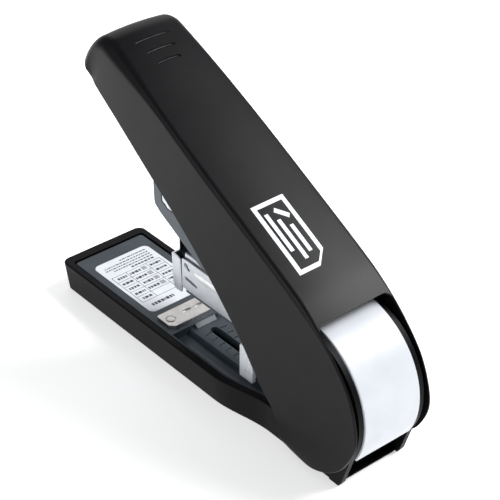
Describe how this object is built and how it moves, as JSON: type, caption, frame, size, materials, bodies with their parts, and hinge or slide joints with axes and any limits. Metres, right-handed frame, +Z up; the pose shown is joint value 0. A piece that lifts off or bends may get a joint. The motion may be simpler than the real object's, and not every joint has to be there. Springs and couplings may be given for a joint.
{
  "type": "long reach stapler",
  "caption": "Heavy duty desk stapler with a raised black handle, white hinge cover, pull-out staple drawer under a pressing arm, anvil plate and a sliding paper stop.",
  "frame": {"origin": "middle of the underside of the bounding box: the floor under the stapler, on its middle plane", "axes": "+Z up, +Y from the anvil's end to the hinge's end, X across"},
  "size_m": [0.0622, 0.2661, 0.194],
  "materials": {
    "black_moulding": "satin black moulding",
    "slate_plastic": "fine matt slate grey",
    "slate_paint": "satin slate grey paint",
    "white_plastic": "smooth white",
    "label_stock": null,
    "zinc_steel": "bright zinc",
    "dark_steel": "hardened and blackened",
    "anvil_steel": "satin nickel",
    "staple_wire": "bright galvanised wire",
    "rubber": "matt"
  },
  "bodies": {
    "base": {"base_tray": "black_moulding", "base_panel": "slate_plastic", "label_plate": "label_stock", "anvil_plate": "anvil_steel", "anvil_rivet_left": "anvil_steel", "anvil_rivet_right": "anvil_steel", "foot_front_left": "rubber", "foot_front_right": "rubber", "foot_rear_left": "rubber", "foot_rear_right": "rubber", "rear_cover": "white_plastic", "hinge_pin_left": "zinc_steel", "hinge_pin_right": "zinc_steel", "arm_axle": "zinc_steel", "axle_spacer_left": "white_plastic", "axle_spacer_right": "white_plastic", "lift_spring": "zinc_steel"},
    "handle": {"handle_shell": "black_moulding", "handle_frame": "zinc_steel", "roller_pin": "zinc_steel"},
    "roller": {"press_roller": "zinc_steel"},
    "arm": {"driver_arm": "slate_paint", "arm_insert": "white_plastic"},
    "magazine": {"magazine_channel": "zinc_steel", "magazine_strip": "slate_paint", "staple_guide": "zinc_steel"},
    "blade": {"driver_blade": "dark_steel", "blade_head": "dark_steel"},
    "drawer": {"front_plate": "zinc_steel", "staple_rail": "zinc_steel", "staple_core": "dark_steel", "guide_rod": "zinc_steel", "drawer_end_plate": "zinc_steel", "staple_strip": "staple_wire"},
    "pusher": {"staple_pusher": "black_moulding", "pusher_spring": "zinc_steel"},
    "paper_stop": {"paper_stop": "white_plastic", "stop_shoe": "slate_plastic"}
  },
  "joints": [
    {"name": "handle_hinge", "type": "hinge", "parent": "base", "child": "handle", "pos_m": [0, 0.08428, 0.0455], "axis": [1, 0, 0], "range_deg": [0, 34], "stiffness_Nm_per_rad": 0.8, "springref_deg": -68.75},
    {"name": "roller_spin", "type": "hinge", "parent": "handle", "child": "roller", "pos_m": [0, 0.0675, 0.05971], "axis": [1, 0, 0], "continuous": true},
    {"name": "arm_hinge", "type": "hinge", "parent": "base", "child": "arm", "pos_m": [0, 0.12177, 0.0445], "axis": [1, 0, 0], "range_deg": [0, 12.11]},
    {"name": "magazine_hinge", "type": "hinge", "parent": "base", "child": "magazine", "pos_m": [0, 0.12177, 0.0445], "axis": [1, 0, 0], "range_deg": [0, 5.46], "deforming": ["lift_spring"]},
    {"name": "blade_slide", "type": "slide", "parent": "magazine", "child": "blade", "axis": [0, 0, -1], "range_m": [0, 0.0191]},
    {"name": "drawer_slide", "type": "slide", "parent": "magazine", "child": "drawer", "axis": [0, 1, 0], "range_m": [-0.1, 0]},
    {"name": "pusher_slide", "type": "slide", "parent": "drawer", "child": "pusher", "axis": [0, 1, 0], "range_m": [0, 0.03], "stiffness_N_per_m": 40, "springref_m": -0.04, "deforming": ["pusher_spring"]},
    {"name": "stop_slide", "type": "slide", "parent": "base", "child": "paper_stop", "axis": [0, -1, 0], "range_m": [-0.007, 0.039]}
  ],
  "couplings": [
    {"joint": "arm_hinge", "follows": "handle_hinge", "ratio": 0.3559},
    {"joint": "magazine_hinge", "follows": "handle_hinge", "ratio": 0.1603},
    {"joint": "blade_slide", "follows": "handle_hinge", "m_per_rad": 0.03185}
  ]
}
